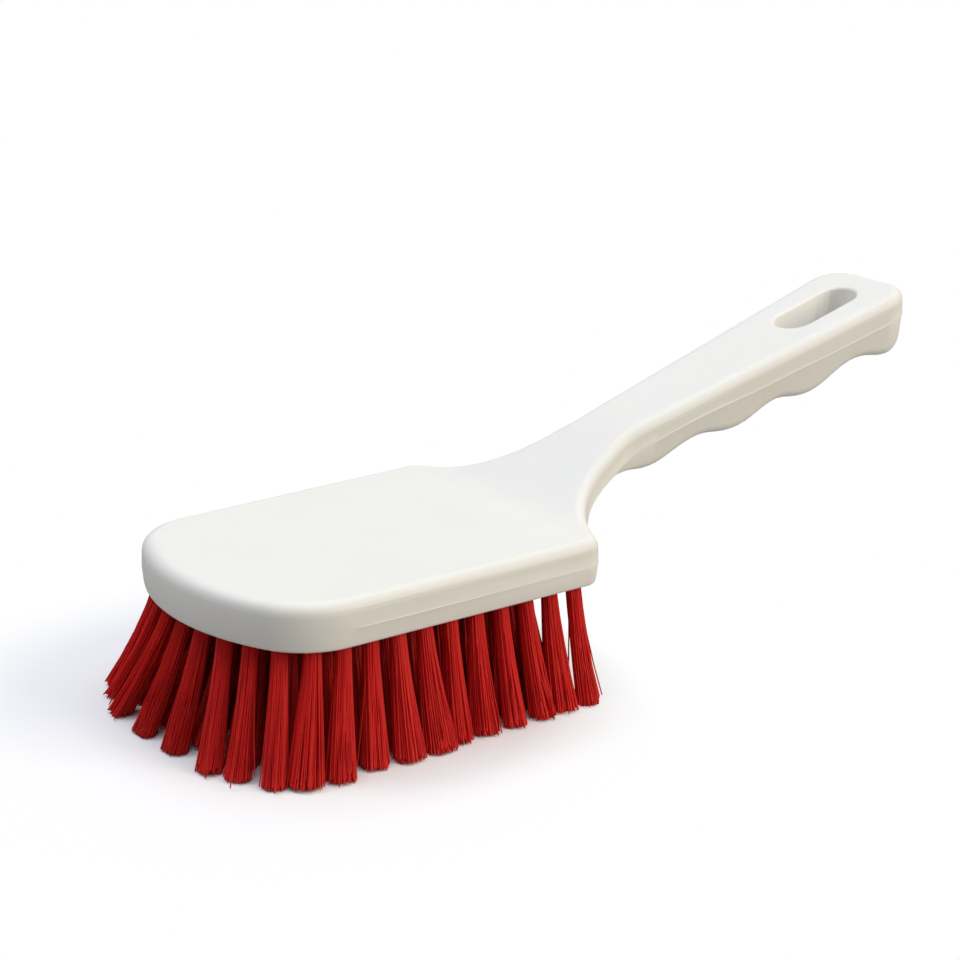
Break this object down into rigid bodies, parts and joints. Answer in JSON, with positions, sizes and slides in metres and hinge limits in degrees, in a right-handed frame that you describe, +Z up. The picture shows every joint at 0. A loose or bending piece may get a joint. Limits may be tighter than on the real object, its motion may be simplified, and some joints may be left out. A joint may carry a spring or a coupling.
{
  "type": "hand brush",
  "caption": "Hand scrubbing brush: moulded white back with a raised finger-grip handle and hanging slot, set with flared red bristle tufts.",
  "frame": {"origin": "middle of the brush's whole length and width, at the level of the bristle tips that it stands on", "axes": "+X along the brush from its toe to the end of the handle, +Y across it, +Z up from the bristle tips to the back"},
  "size_m": [0.2744, 0.1036, 0.0915],
  "materials": {
    "white_plastic": "satin, as moulded, slightly warm white",
    "red_bristle": "crimped red polyester filament with a soft sheen"
  },
  "bodies": {
    "root": {"brush_back": "white_plastic", "outer_tuft_01": "red_bristle", "outer_tuft_02": "red_bristle", "outer_tuft_03": "red_bristle", "outer_tuft_04": "red_bristle", "outer_tuft_05": "red_bristle", "outer_tuft_06": "red_bristle", "outer_tuft_07": "red_bristle", "outer_tuft_08": "red_bristle", "outer_tuft_09": "red_bristle", "outer_tuft_10": "red_bristle", "outer_tuft_11": "red_bristle", "outer_tuft_12": "red_bristle", "outer_tuft_13": "red_bristle", "outer_tuft_14": "red_bristle", "outer_tuft_15": "red_bristle", "outer_tuft_16": "red_bristle", "outer_tuft_17": "red_bristle", "outer_tuft_18": "red_bristle", "outer_tuft_19": "red_bristle", "outer_tuft_20": "red_bristle", "outer_tuft_21": "red_bristle", "outer_tuft_22": "red_bristle", "outer_tuft_23": "red_bristle", "outer_tuft_24": "red_bristle", "outer_tuft_25": "red_bristle", "outer_tuft_26": "red_bristle", "outer_tuft_27": "red_bristle", "outer_tuft_28": "red_bristle", "outer_tuft_29": "red_bristle", "outer_tuft_30": "red_bristle", "second_tuft_01": "red_bristle", "second_tuft_02": "red_bristle", "second_tuft_03": "red_bristle", "second_tuft_04": "red_bristle", "second_tuft_05": "red_bristle", "second_tuft_06": "red_bristle", "second_tuft_07": "red_bristle", "second_tuft_08": "red_bristle", "second_tuft_09": "red_bristle", "second_tuft_10": "red_bristle", "second_tuft_11": "red_bristle", "second_tuft_12": "red_bristle", "second_tuft_13": "red_bristle", "second_tuft_14": "red_bristle", "second_tuft_15": "red_bristle", "second_tuft_16": "red_bristle", "second_tuft_17": "red_bristle", "second_tuft_18": "red_bristle", "second_tuft_19": "red_bristle", "second_tuft_20": "red_bristle", "second_tuft_21": "red_bristle", "second_tuft_22": "red_bristle", "middle_tuft_01": "red_bristle", "middle_tuft_02": "red_bristle", "middle_tuft_03": "red_bristle", "middle_tuft_04": "red_bristle", "middle_tuft_05": "red_bristle", "middle_tuft_06": "red_bristle", "middle_tuft_07": "red_bristle"}
  },
  "joints": []
}
